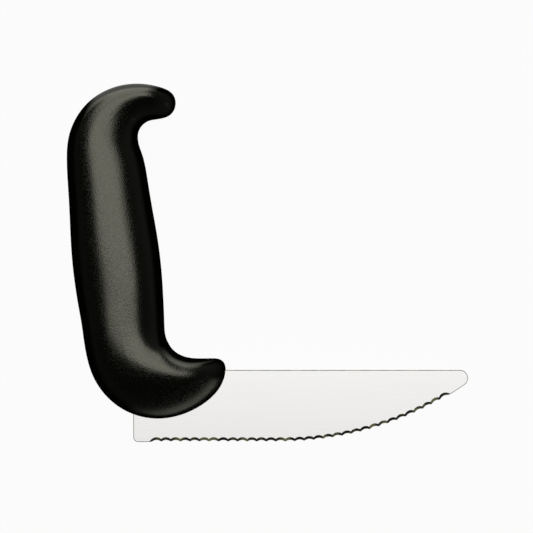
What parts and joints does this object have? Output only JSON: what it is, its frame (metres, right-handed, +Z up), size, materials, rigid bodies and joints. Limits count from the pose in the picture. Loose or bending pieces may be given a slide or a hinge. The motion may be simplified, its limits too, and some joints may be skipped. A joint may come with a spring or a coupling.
{
  "type": "angled knife",
  "caption": "Scalloped table knife whose blade runs out square from the foot of an upright hooked handle, for cutting with a closed fist.",
  "frame": {"origin": "centre of the bounding box, on the surface that the knife lies on", "axes": "+X along the blade from its heel to its point, +Y from the cutting edge up the handle, +Z up, out of the blade's ground side; the knife lies on its side with the blade's point down, so the blade leans 6.7 degrees off the XY plane"},
  "size_m": [0.168, 0.1504, 0.0296],
  "materials": {
    "handle": "black, finely stippled moulding",
    "blade": "satin stainless sheet"
  },
  "bodies": {
    "root": {"handle": "handle", "blade": "blade"}
  },
  "joints": []
}
